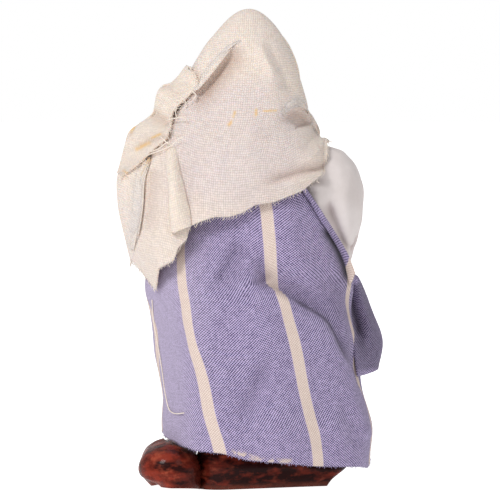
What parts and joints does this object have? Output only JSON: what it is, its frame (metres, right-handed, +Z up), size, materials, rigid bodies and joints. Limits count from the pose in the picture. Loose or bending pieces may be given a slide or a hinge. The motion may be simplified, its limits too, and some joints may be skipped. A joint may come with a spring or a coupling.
{
  "type": "presepe figure",
  "caption": "Dressed terracotta crib figure of a standing peasant woman in a calico veil, puffed sleeves and a striped skirt cloth over heavy shoes.",
  "frame": {"origin": "on the floor, under the middle of the whole figure", "axes": "+Z up, the woman faces -Y"},
  "size_m": [0.0534, 0.044, 0.1],
  "materials": {
    "painted_terracotta": "terracotta painted a warm flesh colour, satin, slightly toned down with age",
    "varnished_shoe_paint": "terracotta painted black over burnt red and varnished glossy",
    "white_cotton": "thin white plain-weave cotton, matte",
    "striped_cotton": "violet and pale lilac end-on-end cotton with narrow cream stripes, matte",
    "calico": "unbleached plain-weave calico with cut, fraying edges and small glue stains, matte"
  },
  "bodies": {
    "root": {"head": "painted_terracotta", "left_hand": "painted_terracotta", "right_hand": "painted_terracotta", "left_foot": "varnished_shoe_paint", "right_foot": "varnished_shoe_paint", "blouse": "white_cotton", "skirt": "striped_cotton", "veil": "calico"}
  },
  "joints": []
}
